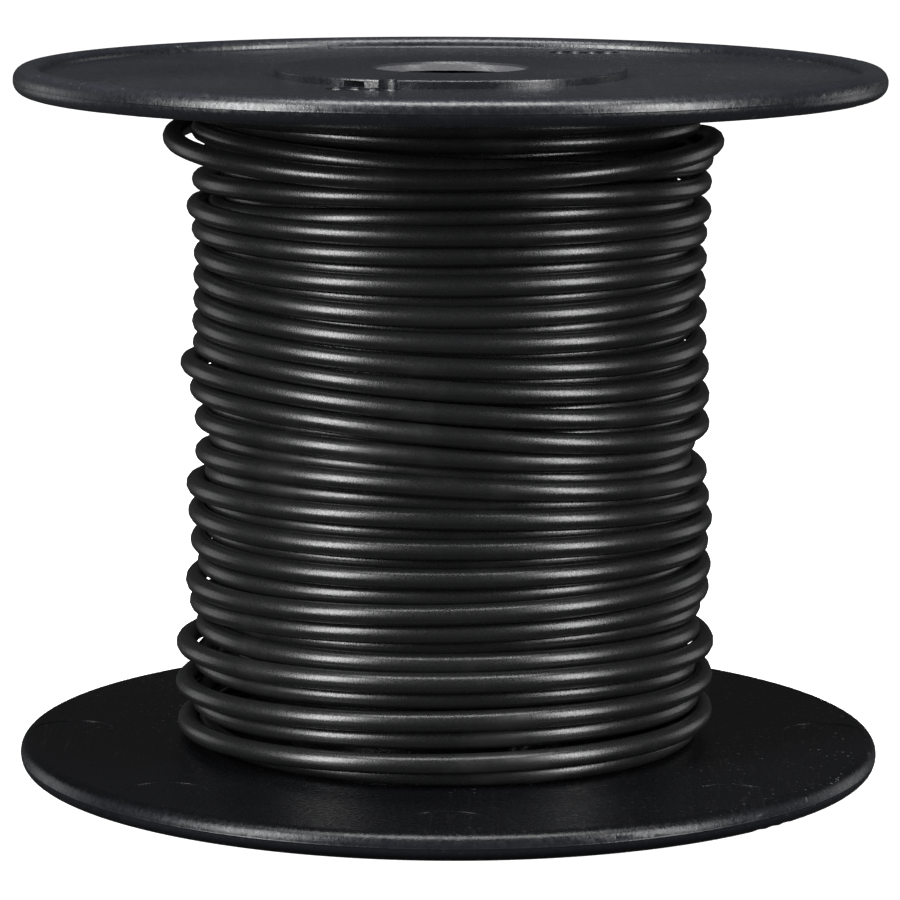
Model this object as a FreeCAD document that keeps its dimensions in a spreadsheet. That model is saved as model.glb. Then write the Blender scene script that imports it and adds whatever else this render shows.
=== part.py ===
"""Wire spool: two moulded flanges on a barrel, wound with insulated stranded wire.

Units are millimetres.  The spool stands on its lower flange: +Z is the winding axis,
and the origin is the centre of the ring that the lower flange rests on.
Each flange is drawn with its inner face at height 0 and its outer face upwards.
"""
import FreeCAD, Part
import math
import os
import Sketcher

ORIGIN = FreeCAD.Vector(0, 0, 0)
UP = FreeCAD.Vector(0, 0, 1)

doc = FreeCAD.newDocument("wire_spool")

# name, value, what it is
DIMENSIONS = [
    ("flange_diameter", 127.0, "outside diameter of both flanges, 5 in"),
    ("flange_height", 4.0, "inner face to resting ring"),
    ("rim_round", 1.9, "edge radius on each side of the rim"),
    ("rim_land", 0.7, "width of the flat resting ring"),
    ("rim_inner_round", 1.35, "radius inside the resting ring"),
    ("disc_recess", 1.6, "resting ring down to the disc"),
    ("rim_foot", 0.25, "slope where the rim meets the disc"),
    ("boss_diameter", 51.5, "raised pad in the middle of each flange"),
    ("boss_rise", 1.2, "boss above the disc"),
    ("boss_round", 0.3, "radius on the boss edge"),
    ("bore_diameter", 22.225, "arbor hole, 7/8 in"),
    ("bore_land", 1.3, "wall height of the arbor hole"),
    ("bore_chamfer", 0.35, "chamfer at the arbor hole's mouth"),
    ("barrel_diameter", 49.2, "outside diameter of the barrel"),
    ("barrel_wall", 2.0, "barrel wall"),
    ("seat_gap", 0.1, "radial gap between the barrel and its seat"),
    ("traverse", 95.25, "distance between the inner faces, 3 3/4 in"),
    ("lobe_diameter", 5.9, "one lobe of a wire hole"),
    ("lobe_spacing", 5.1, "distance between the two lobes of a wire hole"),
    ("start_hole_radius", 28.75, "start hole centre from the axis"),
    ("start_hole_angle", -115.0, "start hole direction"),
    ("start_hole_turn", -12.0, "direction of its long axis"),
    ("second_hole_radius", 28.15, "second start hole centre from the axis"),
    ("second_hole_angle", 71.5, "second start hole direction"),
    ("second_hole_turn", -18.5, "direction of its long axis"),
    ("finish_hole_radius", 53.7, "finish hole centre from the axis"),
    ("finish_hole_angle", 67.1, "finish hole direction"),
    ("finish_hole_turn", 0.0, "direction of its long axis"),
    ("notch_left", -15.6, "left side of the flat on the boss"),
    ("notch_right", -12.1, "right side of the flat on the boss"),
    ("notch_front", -26.5, "front side of the cut that makes the flat"),
    ("notch_back", -20.9, "the flat itself"),
    ("notch_height", 0.85, "height of the flat above the disc"),
    ("mark_diameter", 12.4, "ejector mark"),
    ("mark_radius", 56.0, "ejector mark centre from the axis"),
    ("mark_depth", 0.06, "ejector mark depth"),
    ("mark_count", 8.0, "ejector marks round each inner face"),
    ("wire_diameter", 3.0, "outside diameter of the insulated wire"),
    ("conductor_diameter", 1.85, "bunch of copper strands"),
    ("conductor_bare", 0.8, "bare copper past the end of the insulation"),
    ("winding_end_radius", 39.4, "outside of the winding beside the flanges"),
    ("winding_waist_radius", 37.4, "outside of the winding half way up"),
    ("winding_gap", 0.1, "gap between the winding and the spool"),
    ("finish_end_angle", 97.5, "direction of the wire's outer end"),
    ("finish_end_sweep", 30.0, "angle that the outer tail covers"),
    ("finish_end_radius", 40.15, "outer tail's middle from the axis"),
    ("finish_end_height", 88.0, "outer tail above the resting ring"),
]

sheet = doc.addObject("Spreadsheet::Sheet", "Dimensions")
for row, (alias, value, meaning) in enumerate(DIMENSIONS, start=1):
    sheet.set("A%d" % row, alias)
    sheet.set("B%d" % row, str(value))
    sheet.set("C%d" % row, meaning)
    sheet.setAlias("B%d" % row, alias)
doc.recompute()


def new_body(label):
    """An empty body with the sub-part's name."""
    body = doc.addObject("PartDesign::Body", label)
    body.Label = label
    return body


def new_sketch(body, name, plane):
    """A sketch lying on one of the body's own origin planes."""
    sketch = body.newObject("Sketcher::SketchObject", name)
    face = [item for item in body.Origin.OriginFeatures if item.Role == plane][0]
    sketch.AttachmentSupport = [(face, "")]
    sketch.MapMode = "FlatFace"
    return sketch


def evaluate(expression):
    """The number that an expression over the sheet gives."""
    return sheet.evalExpression(expression.replace("Dimensions.", ""))


def bind(sketch, kind, geometry, point, expression, name):
    """Tie one coordinate of a sketch point to the sheet."""
    value = float(evaluate(expression))
    index = sketch.addConstraint(Sketcher.Constraint(kind, -1, 1, geometry, point, value))
    sketch.renameConstraint(index, name)
    sketch.setExpression("Constraints." + name, expression)


def bind_size(sketch, kind, geometry, expression, name):
    """Tie a radius or diameter to the sheet."""
    value = float(evaluate(expression))
    index = sketch.addConstraint(Sketcher.Constraint(kind, geometry, value))
    sketch.renameConstraint(index, name)
    sketch.setExpression("Constraints." + name, expression)


def place_point(sketch, geometry, point, corner, name):
    """Fix a sketch point; a coordinate of "0" puts it on the axis instead."""
    across, along = corner
    if across == "0":
        sketch.addConstraint(Sketcher.Constraint("PointOnObject", geometry, point, -2))
    else:
        bind(sketch, "DistanceX", geometry, point, across, name + "_x")
    if along == "0":
        sketch.addConstraint(Sketcher.Constraint("PointOnObject", geometry, point, -1))
    else:
        bind(sketch, "DistanceY", geometry, point, along, name + "_y")


def outline(sketch, corners, arcs):
    """A closed outline through corners given as pairs of expressions.

    arcs maps the index of a side to (centre, radius, is_counter_clockwise); other sides are straight.
    """
    points = []
    for across, along in corners:
        points.append(FreeCAD.Vector(float(evaluate(across)), float(evaluate(along)), 0))
    ends = []
    for side, start in enumerate(points):
        finish = points[(side + 1) % len(points)]
        if side in arcs:
            (across, along), _, counter = arcs[side]
            centre = FreeCAD.Vector(float(evaluate(across)), float(evaluate(along)), 0)
            first, last = (start, finish) if counter else (finish, start)
            east = FreeCAD.Vector(1, 0, 0)
            angles = []
            for spot in (first, last):
                arm = spot - centre
                turn = east.getAngle(arm)
                angles.append(turn if arm.y >= 0 else -turn)
            if angles[1] <= angles[0]:
                angles[1] += 2 * math.pi
            circle = Part.Circle(centre, UP, (start - centre).Length)
            geometry = sketch.addGeometry(Part.ArcOfCircle(circle, *angles))
            ends.append((geometry, 1, 2) if counter else (geometry, 2, 1))
        else:
            geometry = sketch.addGeometry(Part.LineSegment(start, finish))
            ends.append((geometry, 1, 2))
    for side, (geometry, first, last) in enumerate(ends):
        following, follow_first, _ = ends[(side + 1) % len(ends)]
        sketch.addConstraint(Sketcher.Constraint("Coincident", geometry, last, following, follow_first))
        place_point(sketch, geometry, first, corners[side], "corner%d" % side)
    for side, (_, radius, _) in arcs.items():
        bind_size(sketch, "Radius", ends[side][0], radius, "round%d" % side)


def revolve(body, sketch):
    """Turn a profile right round the body's vertical axis."""
    feature = body.newObject("PartDesign::Revolution", sketch.Name + "_turned")
    feature.Profile = sketch
    feature.ReferenceAxis = (sketch, ["V_Axis"])
    feature.Angle = 360
    sketch.Visibility = False
    return feature


def pocket(body, sketch, depth=None):
    """Cut upwards from the sketch, right through unless a depth is given."""
    feature = body.newObject("PartDesign::Pocket", sketch.Name + "_cut")
    feature.Profile = sketch
    feature.Reversed = True
    if depth is None:
        feature.Type = "ThroughAll"
    else:
        feature.setExpression("Length", depth)
    sketch.Visibility = False
    return feature


def flange_profile(body):
    """Half section of a flange: half-round rim, recessed disc, boss, bore and barrel seat."""
    rim = "Dimensions.flange_diameter / 2"
    top = "Dimensions.flange_height"
    edge = "Dimensions.rim_round"
    land = rim + " - " + edge
    inside = land + " - Dimensions.rim_land"
    turn = "Dimensions.rim_inner_round"
    disc = top + " - Dimensions.disc_recess"
    boss = "Dimensions.boss_diameter / 2"
    boss_top = disc + " + Dimensions.boss_rise"
    boss_edge = "Dimensions.boss_round"
    bore = "Dimensions.bore_diameter / 2"
    mouth = "Dimensions.bore_chamfer"
    ceiling = boss_top + " - Dimensions.bore_land"
    seat = "Dimensions.barrel_diameter / 2 + Dimensions.seat_gap"
    foot = inside + " - " + turn + " - Dimensions.rim_foot"
    corners = [
        (seat, "0"),
        (land, "0"),
        (rim, edge),
        (rim, top + " - " + edge),
        (land, top),
        (inside, top),
        (inside + " - " + turn, top + " - " + turn),
        (foot, disc),
        (boss, disc),
        (boss, boss_top + " - " + boss_edge),
        (boss + " - " + boss_edge, boss_top),
        (bore + " + " + mouth, boss_top),
        (bore, boss_top + " - " + mouth),
        (bore, ceiling),
        (seat, ceiling),
    ]
    arcs = {
        1: ((land, edge), edge, True),
        3: ((land, top + " - " + edge), edge, True),
        5: ((inside, top + " - " + turn), turn, True),
        9: ((boss + " - " + boss_edge, boss_top + " - " + boss_edge), boss_edge, True),
    }
    sketch = new_sketch(body, body.Label + "_section", "XZ_Plane")
    outline(sketch, corners, arcs)
    return revolve(body, sketch)


def wire_hole(body, name):
    """A figure-of-eight hole: two lobes that overlap at a narrow waist."""
    sketch = new_sketch(body, body.Label + "_" + name, "XY_Plane")
    radius = float(evaluate("Dimensions.lobe_diameter")) / 2
    reach = float(evaluate("Dimensions.lobe_spacing")) / 2
    waist = (radius ** 2 - reach ** 2) ** 0.5
    corners = [FreeCAD.Vector(0, waist, 0), FreeCAD.Vector(0, -waist, 0)]
    arcs = []
    for side in (-1, 1):
        centre = FreeCAD.Vector(side * reach, 0, 0)
        tip = FreeCAD.Vector(side * (reach + radius), 0, 0)
        arcs.append(sketch.addGeometry(Part.Arc(corners[0], tip, corners[1])))
        name_side = "left" if side < 0 else "right"
        sketch.addConstraint(Sketcher.Constraint("PointOnObject", arcs[-1], 3, -1))
        bind(sketch, "DistanceX", arcs[-1], 3, "%d * Dimensions.lobe_spacing / 2" % side, name_side)
        bind_size(sketch, "Radius", arcs[-1], "Dimensions.lobe_diameter / 2", name_side + "_radius")
    left, right = arcs
    for end in (1, 2):
        spot = sketch.getPoint(left, end)
        match = 1 if (sketch.getPoint(right, 1) - spot).Length < 1e-6 else 2
        sketch.addConstraint(Sketcher.Constraint("Coincident", left, end, right, match))
    sketch.AttachmentOffset = FreeCAD.Placement(ORIGIN, FreeCAD.Rotation(UP, 1))
    polar = "Dimensions.%s_radius * %s(Dimensions.%s_angle)"
    sketch.setExpression("AttachmentOffset.Base.x", polar % (name, "cos", name))
    sketch.setExpression("AttachmentOffset.Base.y", polar % (name, "sin", name))
    sketch.setExpression("AttachmentOffset.Rotation.Angle", "Dimensions.%s_turn" % name)
    return pocket(body, sketch)


def boss_notch(body):
    """A short flat on the side of the boss, beside the start hole."""
    sketch = new_sketch(body, body.Label + "_notch", "XY_Plane")
    left, right = "Dimensions.notch_left", "Dimensions.notch_right"
    front, back = "Dimensions.notch_front", "Dimensions.notch_back"
    outline(sketch, [(left, front), (right, front), (right, back), (left, back)], {})
    sketch.setExpression("AttachmentOffset.Base.z", "Dimensions.flange_height - Dimensions.disc_recess")
    return pocket(body, sketch, "Dimensions.notch_height")


def ejector_marks(body):
    """Shallow round marks in a ring on the inner face."""
    sketch = new_sketch(body, body.Label + "_mark", "XY_Plane")
    radius = float(evaluate("Dimensions.mark_diameter")) / 2
    centre = FreeCAD.Vector(0, float(evaluate("Dimensions.mark_radius")), 0)
    ring = sketch.addGeometry(Part.Circle(centre, UP, radius))
    place_point(sketch, ring, 3, ("0", "Dimensions.mark_radius"), "mark")
    bind_size(sketch, "Diameter", ring, "Dimensions.mark_diameter", "mark_size")
    cut = pocket(body, sketch, "Dimensions.mark_depth")
    doc.recompute()
    pattern = body.newObject("PartDesign::PolarPattern", body.Label + "_marks")
    pattern.Originals = [cut]
    pattern.Axis = (sketch, ["N_Axis"])
    pattern.Angle = 360
    pattern.setExpression("Occurrences", "Dimensions.mark_count")
    body.Tip = pattern
    return pattern


def flange(label):
    """One flange; both come from the same mould."""
    body = new_body(label)
    flange_profile(body)
    doc.recompute()
    for name in ("start_hole", "second_hole", "finish_hole"):
        before = body.Shape.Volume
        wire_hole(body, name)
        doc.recompute()
        if body.Shape.Volume >= before:
            raise RuntimeError(label + ": " + name + " removed nothing")
    boss_notch(body)
    ejector_marks(body)
    doc.recompute()
    return body


def barrel():
    """Plain tube between the flanges, seated under both bosses."""
    body = new_body("barrel")
    sketch = new_sketch(body, "barrel_ring", "XY_Plane")
    sizes = ("Dimensions.barrel_diameter", "Dimensions.barrel_diameter - 2 * Dimensions.barrel_wall")
    for name, size in zip(("outside", "inside"), sizes):
        ring = sketch.addGeometry(Part.Circle(ORIGIN, UP, float(evaluate(size)) / 2))
        sketch.addConstraint(Sketcher.Constraint("Coincident", ring, 3, -1, 1))
        bind_size(sketch, "Diameter", ring, size, name)
    pad = body.newObject("PartDesign::Pad", "barrel_tube")
    pad.Profile = sketch
    pad.setExpression("Length", BARREL_LENGTH)
    body.setExpression("Placement.Base.z", BARREL_SEAT)
    sketch.Visibility = False
    return body


def winding():
    """Outer shape of all the turns together, a little slimmer half way up."""
    body = new_body("winding")
    sketch = new_sketch(body, "winding_section", "XZ_Plane")
    inner = "Dimensions.barrel_diameter / 2 + Dimensions.winding_gap"
    outer = "Dimensions.winding_end_radius"
    waist = "Dimensions.winding_waist_radius"
    length = "Dimensions.traverse - 2 * Dimensions.winding_gap"
    half = "Dimensions.traverse / 2 - Dimensions.winding_gap"
    hollow = "(%s - %s)" % (outer, waist)
    curve = "((%s)^2 + %s^2) / (2 * %s)" % (half, hollow, hollow)
    corners = [(inner, "0"), (outer, "0"), (outer, length), (inner, length)]
    arcs = {1: ((waist + " + " + curve, half), curve, False)}
    outline(sketch, corners, arcs)
    revolve(body, sketch)
    body.setExpression("Placement.Base.z", "Dimensions.flange_height + Dimensions.winding_gap")
    return body


def stub(label, diameter, length):
    """A short round length of insulation or of bunched copper strands, standing on its end."""
    piece = doc.addObject("Part::Cylinder", label)
    piece.Label = label
    piece.setExpression("Radius", diameter + " / 2")
    piece.setExpression("Height", length)
    return piece


DISC_UNDERSIDE = "Dimensions.disc_recess"
BARREL_SEAT = "(Dimensions.bore_land - Dimensions.boss_rise + Dimensions.disc_recess)"
BARREL_LENGTH = "Dimensions.traverse + 2 * (Dimensions.flange_height - %s)" % BARREL_SEAT
WINDING_FOOT = "Dimensions.flange_height + Dimensions.winding_gap"

upper_flange = flange("upper_flange")
upper_flange.setExpression("Placement.Base.z", "Dimensions.flange_height + Dimensions.traverse")

lower_flange = flange("lower_flange")
lower_flange.Placement = FreeCAD.Placement(ORIGIN, FreeCAD.Rotation(FreeCAD.Vector(0, 1, 0), 180))
lower_flange.setExpression("Placement.Base.z", "Dimensions.flange_height")

barrel_tube = barrel()
wound_wire = winding()

# The wire's inner end passes down through one lobe of the lower flange's start hole.
LOBE_X = "-(Dimensions.start_hole_radius * cos(Dimensions.start_hole_angle)" \
    " + Dimensions.lobe_spacing / 2 * cos(Dimensions.start_hole_turn))"
LOBE_Y = "Dimensions.start_hole_radius * sin(Dimensions.start_hole_angle)" \
    " + Dimensions.lobe_spacing / 2 * sin(Dimensions.start_hole_turn)"

start_tail = stub("start_tail", "Dimensions.wire_diameter", WINDING_FOOT + " - " + DISC_UNDERSIDE)
start_tail.setExpression("Placement.Base.x", LOBE_X)
start_tail.setExpression("Placement.Base.y", LOBE_Y)
start_tail.setExpression("Placement.Base.z", DISC_UNDERSIDE)

start_conductor = stub("start_conductor", "Dimensions.conductor_diameter", "Dimensions.conductor_bare")
start_conductor.setExpression("Placement.Base.x", LOBE_X)
start_conductor.setExpression("Placement.Base.y", LOBE_Y)
start_conductor.setExpression("Placement.Base.z", DISC_UNDERSIDE + " - Dimensions.conductor_bare")

# The outer end lies on the winding at the back, pointing round it.
finish_tail = doc.addObject("Part::Torus", "finish_tail")
finish_tail.Label = "finish_tail"
finish_tail.Placement = FreeCAD.Placement(ORIGIN, FreeCAD.Rotation(UP, 1))
finish_tail.setExpression("Radius1", "Dimensions.finish_end_radius")
finish_tail.setExpression("Radius2", "Dimensions.wire_diameter / 2")
finish_tail.setExpression("Angle3", "Dimensions.finish_end_sweep")
finish_tail.setExpression("Placement.Base.z", "Dimensions.finish_end_height")
TAIL_TURN = "Dimensions.finish_end_angle - Dimensions.finish_end_sweep"
finish_tail.setExpression("Placement.Rotation.Angle", TAIL_TURN)

finish_conductor = stub("finish_conductor", "Dimensions.conductor_diameter", "Dimensions.conductor_bare")
END_ANGLE = float(evaluate("Dimensions.finish_end_angle"))
LAID_FLAT = FreeCAD.Rotation(FreeCAD.Vector(1, 0, 0), -90)
ROUND_THE_AXIS = FreeCAD.Rotation(UP, END_ANGLE).multiply(LAID_FLAT)
finish_conductor.Placement = FreeCAD.Placement(ORIGIN, ROUND_THE_AXIS)
END_PLACE = "Dimensions.finish_end_radius * %s(Dimensions.finish_end_angle)"
finish_conductor.setExpression("Placement.Base.x", END_PLACE % "cos")
finish_conductor.setExpression("Placement.Base.y", END_PLACE % "sin")
finish_conductor.setExpression("Placement.Base.z", "Dimensions.finish_end_height")

doc.recompute()

NODES = [
    upper_flange,
    lower_flange,
    barrel_tube,
    wound_wire,
    start_tail,
    start_conductor,
    finish_tail,
    finish_conductor,
]

for item in doc.Objects:
    if "Invalid" in item.State or "Error" in item.State:
        raise RuntimeError("%s did not build: %s" % (item.Label, item.State))
for node in NODES:
    if node.Shape.isNull() or not node.Shape.isValid():
        raise RuntimeError(node.Label + " has no valid shape")

os.makedirs("parts", exist_ok=True)
for node in NODES:
    node.Shape.exportStep(os.path.join("parts", node.Label + ".step"))
    box = node.Shape.optimalBoundingBox()
    print("%-18s volume %9.1f mm3  z %6.2f to %6.2f" % (node.Label, node.Shape.Volume, box.ZMin, box.ZMax))
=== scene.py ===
import math

import bmesh
import bpy
import numpy as np
from mathutils import Matrix, Vector


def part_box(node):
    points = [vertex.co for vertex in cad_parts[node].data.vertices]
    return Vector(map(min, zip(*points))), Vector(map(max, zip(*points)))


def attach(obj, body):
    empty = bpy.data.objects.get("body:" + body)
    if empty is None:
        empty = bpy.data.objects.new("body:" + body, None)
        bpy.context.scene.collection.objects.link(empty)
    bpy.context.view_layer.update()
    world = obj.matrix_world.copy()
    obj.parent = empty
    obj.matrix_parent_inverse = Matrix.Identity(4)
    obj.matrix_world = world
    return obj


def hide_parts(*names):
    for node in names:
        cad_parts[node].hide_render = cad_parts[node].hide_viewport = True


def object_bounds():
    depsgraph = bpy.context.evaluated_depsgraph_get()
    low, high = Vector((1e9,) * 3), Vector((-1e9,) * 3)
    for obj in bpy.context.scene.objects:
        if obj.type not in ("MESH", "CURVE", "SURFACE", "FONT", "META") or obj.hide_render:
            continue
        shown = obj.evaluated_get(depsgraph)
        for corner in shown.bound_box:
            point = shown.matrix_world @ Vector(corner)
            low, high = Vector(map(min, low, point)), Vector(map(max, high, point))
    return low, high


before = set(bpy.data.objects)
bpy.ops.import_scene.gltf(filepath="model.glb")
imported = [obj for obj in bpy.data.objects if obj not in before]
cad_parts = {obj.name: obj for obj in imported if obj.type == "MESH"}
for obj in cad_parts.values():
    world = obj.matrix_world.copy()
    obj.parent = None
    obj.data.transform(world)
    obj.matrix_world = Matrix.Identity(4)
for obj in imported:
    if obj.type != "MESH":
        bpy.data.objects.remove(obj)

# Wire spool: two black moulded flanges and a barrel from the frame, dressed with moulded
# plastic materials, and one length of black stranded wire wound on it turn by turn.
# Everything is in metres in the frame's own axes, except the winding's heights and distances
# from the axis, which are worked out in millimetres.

MM = 0.001
cad_low, cad_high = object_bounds()

WIRE_DIAMETER = 3.0 * MM
WIRE_RADIUS = WIRE_DIAMETER / 2
# 75 ft of wire, uncoiled.
STRAND_DIAMETER = 0.36 * MM
# How far the copper stands out of the insulation at either end.
BARE_LENGTH = 0.8 * MM

INNER_FACE_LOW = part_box("lower_flange")[1].z
INNER_FACE_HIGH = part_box("upper_flange")[0].z
BARREL_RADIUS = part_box("barrel")[1].x


# ---------------------------------------------------------------- materials

class Shader:
    """A small helper that builds a node material one node at a time."""

    def __init__(self, name):
        self.material = bpy.data.materials.new(name)
        self.material.use_nodes = True
        self.nodes = self.material.node_tree.nodes
        self.links = self.material.node_tree.links
        self.surface = self.nodes["Principled BSDF"]
        coordinates = self.nodes.new("ShaderNodeTexCoord")
        self.place = coordinates.outputs["Object"]
        self.side = coordinates.outputs["Normal"]

    def node(self, kind, **settings):
        made = self.nodes.new("ShaderNode" + kind)
        for key, value in settings.items():
            setattr(made, key, value)
        return made

    def join(self, source, node, socket):
        self.links.new(source, node.inputs[socket])

    def stretched(self, scale, turn=(0, 0, 0)):
        """Object coordinates scaled and turned."""
        mapping = self.node("Mapping")
        mapping.inputs["Scale"].default_value = scale
        mapping.inputs["Rotation"].default_value = turn
        self.join(self.place, mapping, "Vector")
        return mapping.outputs["Vector"]

    def noise(self, scale, detail=2.0, roughness=0.5, at=None):
        texture = self.node("TexNoise")
        texture.inputs["Scale"].default_value = scale
        texture.inputs["Detail"].default_value = detail
        texture.inputs["Roughness"].default_value = roughness
        self.join(at or self.place, texture, "Vector")
        return texture.outputs["Fac"]

    def ramp(self, source, low, high, start, end):
        """Maps low..high onto start..end, held level outside."""
        spread = self.node("MapRange")
        spread.inputs["From Min"].default_value = low
        spread.inputs["From Max"].default_value = high
        spread.inputs["To Min"].default_value = start
        spread.inputs["To Max"].default_value = end
        self.join(source, spread, "Value")
        return spread.outputs["Result"]

    def math(self, operation, first, second):
        made = self.node("Math", operation=operation)
        for index, value in enumerate((first, second)):
            if isinstance(value, (int, float)):
                made.inputs[index].default_value = value
            else:
                self.links.new(value, made.inputs[index])
        return made.outputs["Value"]

    def mix(self, share, first, second):
        """Blends two colours by a 0..1 share."""
        made = self.node("Mix", data_type="RGBA")
        self.links.new(share, made.inputs["Factor"])
        for socket, colour in zip(made.inputs[6:8], (first, second)):
            if isinstance(colour, tuple):
                socket.default_value = (*colour, 1)
            else:
                self.links.new(colour, socket)
        return made.outputs[2]

    def bump(self, height, distance, strength=1.0, under=None):
        made = self.node("Bump")
        made.inputs["Strength"].default_value = strength
        made.inputs["Distance"].default_value = distance
        self.join(height, made, "Height")
        if under is not None:
            self.join(under, made, "Normal")
        return made.outputs["Normal"]


# Direction, in radians, spacing and thinness of each set of scratches in handled plastic.
SCRATCH_SETS = (
    (0.5, 900.0, 0.012),
    (1.9, 700.0, 0.010),
    (2.7, 820.0, 0.010),
)
# Base colours of black plastic at a painted shading of 1.
DARK_PLASTIC = (0.0044, 0.0047, 0.0062)
LIGHT_PLASTIC = (0.0072, 0.0076, 0.0094)
SCRATCH_GREY = (0.06, 0.06, 0.063)
DUST_GREY = (0.14, 0.14, 0.145)
# Light grey of the painted highlight on the arbor hole's wall.
BORE_PAINTED_HIGHLIGHT = (0.15, 0.15, 0.155)
# The painted highlight on the arbor hole's wall fades out between these distances from the axis.
BORE_HIGHLIGHT_FULLY = 11.2 * MM
BORE_HIGHLIGHT_NO_MORE = 11.8 * MM
# A height out of reach, for a piece with no parting line round it.
NO_PARTING_LINE = -1.0


def scratches(shader, turn, scale, width):
    """Sparse thin straight marks lying across the surface in one direction: 1 on a mark."""
    along = shader.stretched((scale, scale * 0.02, scale * 0.3), (0, 0, turn))
    wave = shader.noise(1.0, 1.0, 0.4, along)
    line = shader.ramp(wave, 0.5 - width, 0.5, 0.0, 1.0)
    other = shader.ramp(wave, 0.5, 0.5 + width, 1.0, 0.0)
    ridge = shader.math("MINIMUM", line, other)
    patches = shader.ramp(shader.noise(38.0 + 9.0 * turn, 2.0), 0.57, 0.66, 0.0, 1.0)
    return shader.math("MULTIPLY", ridge, patches)


def shaded(colour, painted_shading):
    """A colour made lighter or darker, as painted light and shadow."""
    return tuple(painted_shading * part for part in colour)


def walls_of(shader):
    """1 on upright walls, 0 on faces that lie flat."""
    facing = shader.node("SeparateXYZ")
    shader.join(shader.side, facing, "Vector")
    return shader.ramp(shader.math("ABSOLUTE", facing.outputs["Z"], 0.0), 0.3, 0.8, 1.0, 0.0)


def bore_of(shader, wall):
    """1 on the wall of the arbor hole, where its painted highlight goes, 0 elsewhere."""
    from_axis = shader.node("VectorMath", operation="LENGTH")
    shader.join(shader.stretched((1, 1, 0)), from_axis, 0)
    inside = shader.ramp(from_axis.outputs["Value"], BORE_HIGHLIGHT_FULLY, BORE_HIGHLIGHT_NO_MORE, 1.0, 0.0)
    return shader.math("MULTIPLY", inside, wall)


def seam_at(shader, parting_height):
    """1 on the thin line where the two halves of the mould met."""
    height = shader.node("SeparateXYZ")
    shader.join(shader.place, height, "Vector")
    above = shader.math("SUBTRACT", height.outputs["Z"], parting_height)
    away = shader.math("ABSOLUTE", above, 0.0)
    return shader.ramp(away, 0.03 * MM, 0.14 * MM, 1.0, 0.0)


def moulded_plastic(name, parting_height, painted_shading, painted_wall_shading, index, wear):
    """Black moulded styrene: satin, handled, with dust specks and a parting line on its edge.

    Its faces and its upright walls are made lighter or darker by the two shading factors, as painted
    light and shadow, and the arbor hole's wall gets a painted highlight;
    index is how strongly it mirrors, and wear is how scratched its faces are."""
    shader = Shader(name)
    surface = shader.surface
    wall = walls_of(shader)
    marks = scratches(shader, *SCRATCH_SETS[0])
    for scratch_set in SCRATCH_SETS[1:]:
        marks = shader.math("MAXIMUM", marks, scratches(shader, *scratch_set))
    marks = shader.math("MULTIPLY", marks, shader.ramp(wall, 0.0, 0.5, wear, 0.0))
    cloudy = shader.noise(26.0, 4.0, 0.55)
    pitted = shader.noise(1300.0, 4.0, 0.7)

    specks = shader.ramp(shader.noise(1500.0, 2.0), 0.66, 0.74, 0.0, 1.0)
    dust = shader.math("MULTIPLY", specks, shader.ramp(cloudy, 0.45, 0.62, 0.0, 1.0))
    tone = shader.ramp(cloudy, 0.3, 0.7, 0.0, 1.0)
    base = shader.mix(tone, shaded(DARK_PLASTIC, painted_shading), shaded(LIGHT_PLASTIC, painted_shading))
    base = shader.mix(shader.math("MULTIPLY", marks, 0.3), base, SCRATCH_GREY)
    base = shader.mix(shader.math("MULTIPLY", dust, 0.5), base, DUST_GREY)
    # Upright walls get their own painted shading, and the arbor hole's wall a light grey painted
    # highlight.
    base = shader.mix(shader.math("MULTIPLY", wall, 0.6), base, shaded(DARK_PLASTIC, painted_wall_shading))
    base = shader.mix(shader.math("MULTIPLY", bore_of(shader, wall), 0.7), base, BORE_PAINTED_HIGHLIGHT)
    shader.join(base, surface, "Base Color")

    gloss = shader.ramp(cloudy, 0.3, 0.7, 0.19, 0.26)
    gloss = shader.math("ADD", gloss, shader.ramp(pitted, 0.35, 0.65, 0.0, 0.15))
    gloss = shader.math("ADD", gloss, shader.math("MULTIPLY", marks, 0.12))
    shader.join(gloss, surface, "Roughness")
    surface.inputs["IOR"].default_value = index

    grain = shader.bump(pitted, 0.00006)
    sink = shader.bump(shader.noise(45.0, 2.0), 0.00025, 0.35, grain)
    worn = shader.bump(marks, 0.00001, 1.0, sink)
    seam = seam_at(shader, parting_height)
    shader.join(shader.bump(seam, 0.00006, 0.6, worn), surface, "Normal")
    return shader.material


def wire_jacket(name):
    """Black PVC insulation: satin with a fine extruded grain and faint scuffs."""
    shader = Shader(name)
    surface = shader.surface
    scuff = shader.ramp(shader.noise(75.0, 4.0, 0.6), 0.55, 0.72, 0.0, 1.0)
    fine = shader.noise(4200.0, 2.0, 0.6)
    tone = shader.ramp(shader.noise(60.0, 3.0), 0.35, 0.7, 0.0, 1.0)
    base = shader.mix(tone, (0.0060, 0.0062, 0.0066), (0.0085, 0.0087, 0.0092))
    base = shader.mix(shader.math("MULTIPLY", scuff, 0.25), base, (0.028, 0.028, 0.029))
    shader.join(base, surface, "Base Color")
    gloss = shader.ramp(fine, 0.3, 0.7, 0.23, 0.37)
    gloss = shader.math("ADD", gloss, shader.math("MULTIPLY", scuff, 0.05))
    shader.join(gloss, surface, "Roughness")
    surface.inputs["IOR"].default_value = 1.5
    grain = shader.bump(fine, 0.000016)
    shader.join(shader.bump(shader.noise(300.0, 2.0), 0.000015, 0.4, grain), surface, "Normal")
    return shader.material


def bare_copper(name):
    """Bright drawn copper with a little tarnish."""
    shader = Shader(name)
    surface = shader.surface
    tarnish = shader.ramp(shader.noise(900.0, 3.0), 0.45, 0.7, 0.0, 1.0)
    shader.join(shader.mix(tarnish, (0.86, 0.42, 0.24), (0.42, 0.17, 0.09)), surface, "Base Color")
    shader.join(shader.ramp(tarnish, 0.0, 1.0, 0.22, 0.4), surface, "Roughness")
    surface.inputs["Metallic"].default_value = 1.0
    drawn = shader.noise(1.0, 2.0, 0.5, shader.stretched((9000.0, 9000.0, 500.0)))
    shader.join(shader.bump(drawn, 0.000008), surface, "Normal")
    return shader.material


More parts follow.
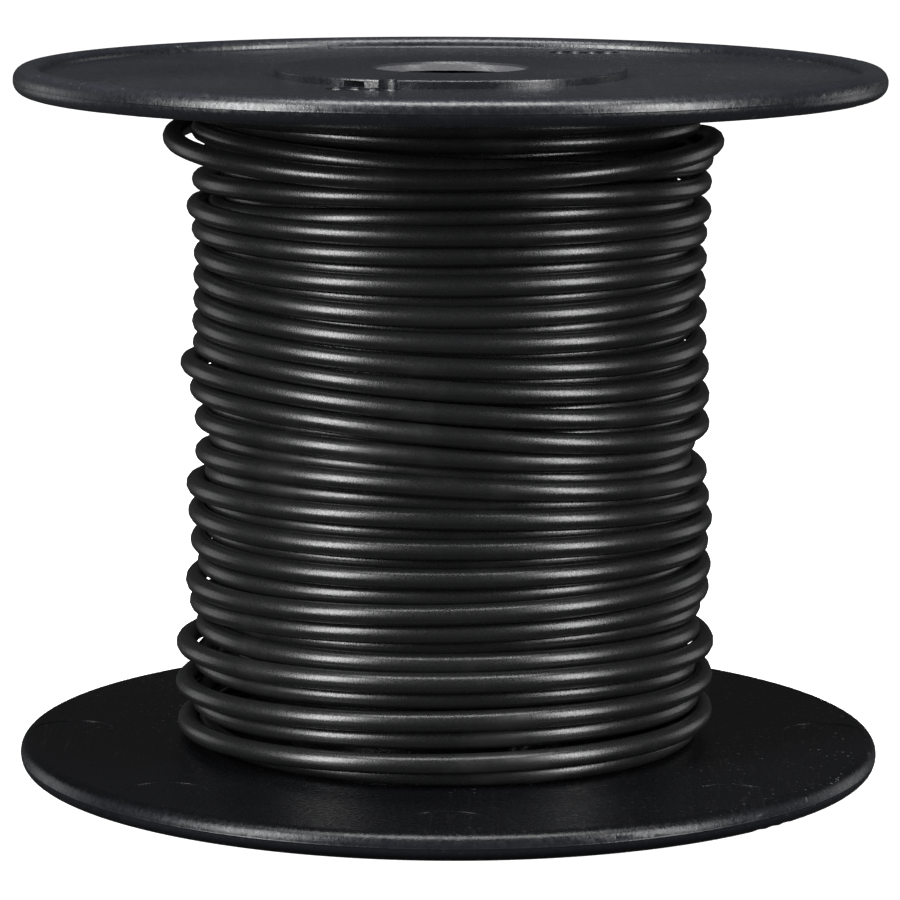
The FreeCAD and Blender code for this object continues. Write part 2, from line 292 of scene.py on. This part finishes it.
def studio_floor(name):
    """Plain pale sweep, almost white."""
    shader = Shader(name)
    tone = shader.noise(2.0, 1.0)
    shader.join(shader.mix(tone, (0.93, 0.93, 0.93), (0.95, 0.95, 0.95)), shader.surface, "Base Color")
    shader.surface.inputs["Roughness"].default_value = 0.6
    shader.surface.inputs["Emission Color"].default_value = (1, 1, 1, 1)
    shader.surface.inputs["Emission Strength"].default_value = 0.97
    return shader.material


def dress(node, material):
    """Puts a material in every slot of a CAD node."""
    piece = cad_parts[node]
    for place in piece.material_slots:
        place.material = material


# ---------------------------------------------------------------- the winding

# Directions round the axis at which a turn's height is given, in degrees from +X.
LEFT, FRONT_LEFT, FRONT_RIGHT, RIGHT = 180.0, 246.5, 299.5, 360.0

# Each row is one turn: its height at the left, front left, front right and right, then how
# far its surface stands from the axis at the left, in front and at the right.
# The turns under the outermost ones go down the spool, loosely spaced.
UNDER_TURNS = [
    (97.0, 95.4, 94.2, 95.6, 36.2, 36.8, 35.8),
    (90.2, 90.2, 91.6, 91.2, 35.2, 35.6, 34.8),
    (82.0, 84.2, 85.3, 83.5, 35.0, 36.8, 34.6),
    (78.0, 76.7, 77.9, 76.6, 34.6, 36.4, 35.0),
    (74.6, 72.8, 73.4, 73.4, 34.4, 36.2, 34.6),
    (71.2, 69.0, 68.5, 69.4, 34.6, 36.2, 34.6),
    (67.8, 65.6, 65.0, 65.2, 34.6, 36.2, 35.0),
    (64.6, 62.6, 60.9, 60.8, 34.4, 36.2, 35.2),
    (57.6, 57.0, 57.2, 56.6, 35.2, 35.8, 35.2),
    (54.0, 53.7, 53.9, 52.4, 35.2, 36.2, 34.8),
    (48.6, 50.2, 47.1, 45.6, 35.4, 36.2, 36.6),
    (43.6, 45.4, 43.9, 41.2, 35.4, 36.2, 35.0),
    (40.0, 40.2, 40.3, 37.3, 36.4, 36.6, 36.0),
    (35.8, 36.0, 36.4, 34.0, 36.4, 36.6, 35.4),
    (29.9, 31.0, 31.8, 30.6, 38.4, 37.2, 35.4),
    (22.6, 23.8, 24.9, 23.5, 35.8, 37.0, 38.4),
    (20.9, 21.6, 22.3, 20.4, 38.4, 37.8, 39.2),
    (15.1, 16.5, 17.6, 14.4, 38.5, 38.0, 38.8),
    (9.0, 10.8, 11.6, 10.2, 39.2, 38.0, 38.2),
    (5.6, 5.6, 5.6, 5.6, 38.2, 38.0, 38.2),
]

# The outermost turns go up again and rest on the others; the last one is slack.
OUTER_TURNS = [
    (5.8, 7.6, 8.2, 7.4, 40.7, 39.4, 39.2),
    (11.8, 13.5, 14.6, 12.4, 41.0, 39.4, 39.0),
    (18.0, 19.2, 20.1, 17.4, 40.9, 39.4, 39.6),
    (24.1, 26.0, 26.8, 26.5, 38.6, 38.8, 39.1),
    (27.2, 28.6, 29.6, 29.6, 39.6, 39.0, 39.2),
    (33.6, 33.8, 34.3, 32.6, 38.6, 38.6, 37.6),
    (38.0, 37.9, 38.5, 35.8, 38.9, 38.6, 39.4),
    (41.8, 42.9, 42.2, 38.9, 39.3, 38.6, 38.4),
    (46.4, 48.4, 45.6, 42.8, 36.4, 37.8, 36.4),
    (52.0, 52.8, 49.2, 47.8, 37.2, 37.8, 36.6),
    (56.6, 56.3, 52.0, 49.8, 37.8, 38.0, 36.8),
    (60.6, 59.2, 55.4, 54.2, 40.6, 38.6, 38.6),
    (63.8, 61.9, 58.8, 58.7, 36.2, 38.0, 38.0),
    (66.8, 64.6, 62.6, 62.7, 37.1, 37.8, 38.0),
    (70.0, 67.4, 66.4, 67.3, 36.9, 37.8, 37.2),
    (73.4, 70.6, 70.6, 71.8, 37.0, 37.8, 36.2),
    (76.4, 74.8, 75.4, 75.0, 35.4, 37.8, 36.7),
    (79.9, 78.8, 80.0, 78.4, 38.0, 38.2, 38.2),
    (83.4, 81.7, 82.4, 81.8, 38.3, 38.6, 38.0),
    (86.9, 87.2, 88.0, 85.3, 38.2, 38.4, 38.9),
    (95.2, 92.1, 90.8, 89.0, 38.6, 38.2, 39.0),
    (97.6, 97.3, 97.0, 97.6, 38.4, 38.6, 38.0),
    (93.4, 89.4, 90.2, 93.4, 43.0, 39.9, 38.8),
]

POINTS_PER_TURN = 24
STEP = 360.0 / POINTS_PER_TURN
# Quadratic control points of a circle lie this much outside it.
OUTSIDE_CIRCLE = 1 / (1 - (1 - math.cos(math.radians(STEP))) / 4)

INNER_LAYERS = [
    # turns, first height, last height, distance from the axis
    (22, 9.4, 96.5, 26.15),
    (23, 93.5, 14.5, 28.6),
    (23, 11.5, 97.0, 30.9),
]
# The first turn starts in this direction, beside the lower flange's start hole.
START_ANGLE = -70.0
# The wire comes straight up through the start hole to these heights, then round a bend into
# the first turn: degrees on from START_ANGLE, height and distance from the axis. The bend
# takes the place of the first turn's first points.
ENTRY_HEIGHTS = (4.6, 8.0)
ENTRY_BEND = ((13.0, 9.2, 28.3), (27.0, 9.5, 27.2))
POINTS_REPLACED = 3
# The wire leaves the last turn at the right, and its outer end lies on the winding at the
# back, between two directions given in degrees on from the right.
LAST_TURN_END = 24.0
LAST_TURN_DISTANCE = 37.6
TAIL_HEIGHT = (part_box("finish_tail")[0].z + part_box("finish_tail")[1].z) / 2 / MM
TAIL_DISTANCE = 40.15
TAIL_START = 67.5
TAIL_END = 97.5

# How the turns settle, in height and in distance from the axis where there are two numbers.
SETTLING_ROUNDS = 300
# The last rounds only part the turns, and pull at nothing.
PARTING_ROUNDS = 40
# How readily a section gives way.
GIVES_WAY = np.array([0.15, 1.0])
# Share of the way back to its wanted place that a section moves in a round.
DRAWN_BACK = np.array([0.25, 0.04])
# Share of the way to its neighbours' middle, and out of an overlap, that it moves.
STIFFNESS = 0.06
PUSH = 0.6
# Sections in contact are this many diameters apart.
CONTACT = 1.005
# A later turn stays outside an earlier one by this share of the room between them.
OUTSIDE_SHARE = 0.3
# The wire is pulled snug, by this many mm in a round, except where it is wanted further out
# than SNUG_WITHIN and in its slack last turns.
PULL = 0.02
SNUG_WITHIN = 38.5
SLACK_TURNS = 2
# Room left between the wire and the spool, in mm.
CLEARANCE = 0.05
# The turns under the outermost ones move three times as readily as those.
OUTERMOST_YIELD = 0.3
# Sections past the wire's end, which fill up the last turn, lie far off and far apart.
FAR_OFF = 1e4
FAR_APART = 100.0
# The distance from a section to itself, so that it never touches itself.
NEVER_TOUCHES = 1e6
# Keeps a division from being by zero.
TINY = 1e-6


def winding_targets():
    """Angle, height and distance from the axis wanted along the whole winding, in degrees and mm."""
    knots = []
    angle = START_ANGLE + 360.0
    for turns, first, last, radius in INNER_LAYERS:
        for turn in range(turns + 1):
            height = first + (last - first) * turn / turns
            knots.append((angle + 360.0 * turn, height, radius))
        angle += 360.0 * turns + 2 * STEP
    angle = 360.0 * math.ceil(angle / 360.0) + LEFT
    for row in UNDER_TURNS + OUTER_TURNS:
        surfaces = (row[4], row[5], row[5], row[6])
        for place, height, surface in zip((LEFT, FRONT_LEFT, FRONT_RIGHT, RIGHT), row, surfaces):
            knots.append((angle + place - LEFT, height, surface - WIRE_RADIUS / MM))
        angle += 360.0
    last_turn = angle - LEFT
    knots.append((last_turn + LAST_TURN_END, OUTER_TURNS[-1][3], LAST_TURN_DISTANCE))
    knots.append((last_turn + TAIL_START, TAIL_HEIGHT, TAIL_DISTANCE))
    knots.append((last_turn + TAIL_END - STEP / 2, TAIL_HEIGHT, TAIL_DISTANCE))
    return np.array(knots)


def smoothed(values, rounds):
    """Rounds off a line of values, its ends kept."""
    for _ in range(rounds):
        values[1:-1] = 0.5 * values[1:-1] + 0.25 * (values[:-2] + values[2:])
    return values


def settle(heights, radii, give):
    """Lets the turns push each other apart until they lie side by side and on one another.

    Each direction round the axis is a column of wire sections. Sections that overlap move
    apart, each is drawn back towards the place wanted for it, and the wire stays smooth."""
    wire = WIRE_DIAMETER / MM
    count = len(heights)
    turns = math.ceil(count / POINTS_PER_TURN)
    size = turns * POINTS_PER_TURN
    wanted = np.full((size, 2), FAR_OFF)
    wanted[:, 1] += FAR_APART * np.arange(size)
    wanted[:count] = np.stack([heights, radii], axis=1)
    place = wanted.copy()
    lowest = INNER_FACE_LOW / MM + wire / 2 + CLEARANCE
    highest = INNER_FACE_HIGH / MM - wire / 2 - CLEARANCE
    nearest = BARREL_RADIUS / MM + wire / 2 + CLEARANCE
    tension = np.where(radii < SNUG_WITHIN, PULL, 0.0)
    tension[-SLACK_TURNS * POINTS_PER_TURN:] = 0.0
    yielding = np.ones(size)
    yielding[:count] = give
    yielding = yielding.reshape(turns, POINTS_PER_TURN)
    order = np.arange(turns)
    later = np.sign(order[:, None] - order[None, :])[..., None]
    share_moved = yielding[:, None] / (yielding[:, None] + yielding[None, :])
    for step in range(SETTLING_ROUNDS):
        line = place[:count]
        if step < SETTLING_ROUNDS - PARTING_ROUNDS:
            line += DRAWN_BACK * (wanted[:count] - line)
            line[:, 1] -= tension
        line[1:-1] += STIFFNESS * ((line[:-2] + line[2:]) / 2 - line[1:-1])
        column = place.reshape(turns, POINTS_PER_TURN, 2)
        gap = column[:, None] - column[None, :]
        room = np.sqrt(np.clip(wire ** 2 - gap[..., 0] ** 2, 0.0, None))
        gap[..., 1] = later * np.maximum(later * gap[..., 1], OUTSIDE_SHARE * room)
        far = np.maximum(np.sqrt((gap ** 2).sum(-1)), TINY)
        far[order, order] = NEVER_TOUCHES
        overlap = np.clip(wire * CONTACT - far, 0.0, None)
        normal = gap / far[..., None]
        share = GIVES_WAY * normal
        share /= np.maximum((GIVES_WAY * normal ** 2).sum(-1), TINY)[..., None]
        column += PUSH * (share * (overlap * share_moved)[..., None]).sum(1)
        place[:count, 0] = np.clip(place[:count, 0], lowest, highest)
        place[:count, 1] = np.maximum(place[:count, 1], nearest)
    return place[:count, 0], place[:count, 1]


def on_circle(angle, height, distance):
    """A point in metres from an angle in degrees, a height and a distance from the axis in mm."""
    turned = math.radians(angle)
    return (distance * math.cos(turned) * MM, distance * math.sin(turned) * MM, height * MM)


def wire_points():
    """Control points of the whole wire, from its inner end to its outer end."""
    knots = winding_targets()
    angles = np.arange(knots[0, 0], knots[-1, 0] + STEP / 2, STEP)
    heights = smoothed(np.interp(angles, knots[:, 0], knots[:, 1]), 2)
    radii = smoothed(np.interp(angles, knots[:, 0], knots[:, 2]), 3)
    last_under = knots[-1, 0] - 360.0 * len(OUTER_TURNS)
    give = np.where(angles > last_under, OUTERMOST_YIELD, 1.0)
    heights, radii = settle(heights, radii, give)
    heights[-1], radii[-1] = TAIL_HEIGHT, TAIL_DISTANCE
    turns = [on_circle(*place) for place in zip(angles, heights, radii * OUTSIDE_CIRCLE)]
    low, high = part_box("start_tail")
    x, y = (low.x + high.x) / 2, (low.y + high.y) / 2
    entry = [(x, y, low.z)]
    entry += [(x, y, height * MM) for height in ENTRY_HEIGHTS]
    entry += [on_circle(START_ANGLE + turned, *place) for turned, *place in ENTRY_BEND]
    exit_end = on_circle(TAIL_END, TAIL_HEIGHT, TAIL_DISTANCE)
    return entry + turns[POINTS_REPLACED:] + [exit_end]


def wire_curve(points):
    """One bevelled NURBS line through the control points."""
    data = bpy.data.curves.new("wound_wire", "CURVE")
    data.dimensions = "3D"
    spline = data.splines.new("NURBS")
    spline.points.add(len(points) - 1)
    for point, place in zip(spline.points, points):
        point.co = (*place, 1.0)
    spline.order_u = 3
    spline.use_endpoint_u = True
    data.bevel_depth = WIRE_RADIUS
    # Fine enough to look round, and coarse enough for the whole wire to export undecimated.
    data.resolution_u = 3
    data.bevel_resolution = 4
    data.use_fill_caps = True
    return bpy.data.objects.new("wound_wire", data)


# Along a strand, as shares of the bare length: it starts a little inside the insulation.
STRAND_REACH = (-0.25, 0.375, 1.0)
# How far the bunch twists from one point of a strand to the next, in radians.
STRAND_TWIST = 0.12


def bare_strands(name, foot, direction):
    """Nineteen copper strands, slightly twisted, standing out of the insulation's end."""
    data = bpy.data.curves.new(name, "CURVE")
    data.dimensions = "3D"
    data.bevel_depth = STRAND_DIAMETER / 2
    data.bevel_resolution = 2
    data.use_fill_caps = True
    turn = direction.to_track_quat("Z", "X")
    # One strand in the middle, and two rings of them: how many, and how many strands out.
    places = [(0.0, 0.0)]
    for count, distance in ((6, 1.0), (12, 1.93)):
        for step in range(count):
            places.append((2 * math.pi * step / count, distance * STRAND_DIAMETER))
    for angle, distance in places:
        spline = data.splines.new("POLY")
        spline.points.add(len(STRAND_REACH) - 1)
        for step, point in enumerate(spline.points):
            twisted = angle + STRAND_TWIST * step
            height = BARE_LENGTH * STRAND_REACH[step]
            arm = Vector((distance * math.cos(twisted), distance * math.sin(twisted), height))
            point.co = (*(foot + turn @ arm), 1.0)
    strands = bpy.data.objects.new(name, data)
    bpy.context.scene.collection.objects.link(strands)
    return strands


# ---------------------------------------------------------------- stage

def area_light(name, place, aim, size, power):
    """A soft rectangular light at place, facing aim."""
    data = bpy.data.lights.new(name, "AREA")
    data.shape = "RECTANGLE"
    data.size, data.size_y = size
    data.energy = power
    light = bpy.data.objects.new(name, data)
    light.location = place
    light.rotation_euler = (Vector(aim) - Vector(place)).to_track_quat("-Z", "Y").to_euler()
    bpy.context.scene.collection.objects.link(light)
    return light


def polar(azimuth, elevation, distance, centre):
    """The point at an azimuth, an elevation and a distance from centre.

    Azimuth 0 is towards the camera, and it is positive to the right."""
    side, up = math.radians(azimuth), math.radians(elevation)
    level = math.cos(up)
    aim = Vector((math.sin(side) * level, -math.cos(side) * level, math.sin(up)))
    return centre + distance * aim


FLOOR_REACH = 6.0
WORLD_STRENGTH = 0.03
# name, azimuth, elevation, distance, width and height, watts
LAMPS = (
    ("softbox_left", -53.0, 18.0, 0.9, (0.30, 0.75), 15.0),
    ("softbox_right", 57.0, 18.0, 0.9, (0.26, 0.75), 11.0),
    ("rim_left", -124.0, 0.0, 0.9, (0.4, 0.5), 0.6),
    ("rim_right", 124.0, 0.0, 0.9, (0.4, 0.5), 0.7),
    ("overhead", 0.0, 74.0, 0.8, (0.8, 0.3), 9.5),
)


def build_floor(material):
    """A large flat floor under the spool."""
    mesh = bpy.data.meshes.new("floor")
    form = bmesh.new()
    sides = ((-1, -1), (1, -1), (1, 1), (-1, 1))
    corners = [form.verts.new((x * FLOOR_REACH, y * FLOOR_REACH, cad_low.z)) for x, y in sides]
    form.faces.new(corners)
    form.to_mesh(mesh)
    form.free()
    mesh.materials.append(material)
    floor = bpy.data.objects.new("floor", mesh)
    floor.visible_glossy = False
    floor.visible_diffuse = False
    bpy.context.scene.collection.objects.link(floor)


def build_lights():
    """White surroundings and the lamps, all aimed at the middle of the spool."""
    world = bpy.data.worlds.new("studio")
    world.use_nodes = True
    background = world.node_tree.nodes["Background"]
    background.inputs["Color"].default_value = (1, 1, 1, 1)
    background.inputs["Strength"].default_value = WORLD_STRENGTH
    bpy.context.scene.world = world
    middle = (cad_low + cad_high) / 2
    for name, azimuth, elevation, distance, size, power in LAMPS:
        area_light(name, polar(azimuth, elevation, distance, middle), middle, size, power)


CAMERA_PLACE = (0.0001, -0.64097, 0.14945)
# How far the camera looks down, and how far it leans, in degrees.
CAMERA_DOWN = 9.132
CAMERA_ROLL = 0.2005


def build_camera():
    """A long lens in front of the spool, a little above it."""
    data = bpy.data.cameras.new("camera")
    data.sensor_width = 36.0
    data.lens = 175.95
    data.clip_start = 0.01
    data.clip_end = 50.0
    camera = bpy.data.objects.new("camera", data)
    tilt = math.radians(90.0 - CAMERA_DOWN)
    roll = math.radians(CAMERA_ROLL)
    place = Matrix.Translation(CAMERA_PLACE)
    camera.matrix_world = place @ Matrix.Rotation(tilt, 4, "X") @ Matrix.Rotation(roll, 4, "Z")
    bpy.context.scene.collection.objects.link(camera)
    bpy.context.scene.camera = camera


# ---------------------------------------------------------------- build

build_camera()
build_floor(studio_floor("floor_white"))
build_lights()
bpy.context.scene.view_settings.view_transform = "Standard"

jacket = wire_jacket("wire_jacket_black")
copper = bare_copper("copper_strands")

upper_low, upper_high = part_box("upper_flange")
lower_low, lower_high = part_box("lower_flange")
upper_middle = (upper_low.z + upper_high.z) / 2
lower_middle = (lower_low.z + lower_high.z) / 2
# The same plastic is painted lighter on the upper flange and darker on the lower one, as lit and
# shadowed copies; their upright walls are painted the other way round.
upper_plastic = moulded_plastic("upper_flange_plastic", upper_middle,
                                painted_shading=2.3, painted_wall_shading=0.78, index=1.52, wear=1.0)
lower_plastic = moulded_plastic("lower_flange_plastic", lower_middle,
                                painted_shading=0.35, painted_wall_shading=2.4, index=1.34, wear=0.25)
barrel_plastic = moulded_plastic("barrel_plastic", NO_PARTING_LINE,
                                 painted_shading=1.0, painted_wall_shading=1.0, index=1.52, wear=1.0)
dress("upper_flange", upper_plastic)
dress("lower_flange", lower_plastic)
dress("barrel", barrel_plastic)

points = wire_points()
wire = wire_curve(points)
bpy.context.scene.collection.objects.link(wire)
wire.data.materials.append(jacket)
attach(wire, "root")
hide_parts("winding", "start_tail", "finish_tail")

start_face = Vector(points[0])
finish_face = Vector(points[-1])
start_strands = bare_strands("start_strands", start_face, start_face - Vector(points[1]))
finish_strands = bare_strands("finish_strands", finish_face, finish_face - Vector(points[-2]))
for strands, conductor in ((start_strands, "start_conductor"), (finish_strands, "finish_conductor")):
    strands.data.materials.append(copper)
    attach(strands, "root")
    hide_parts(conductor)
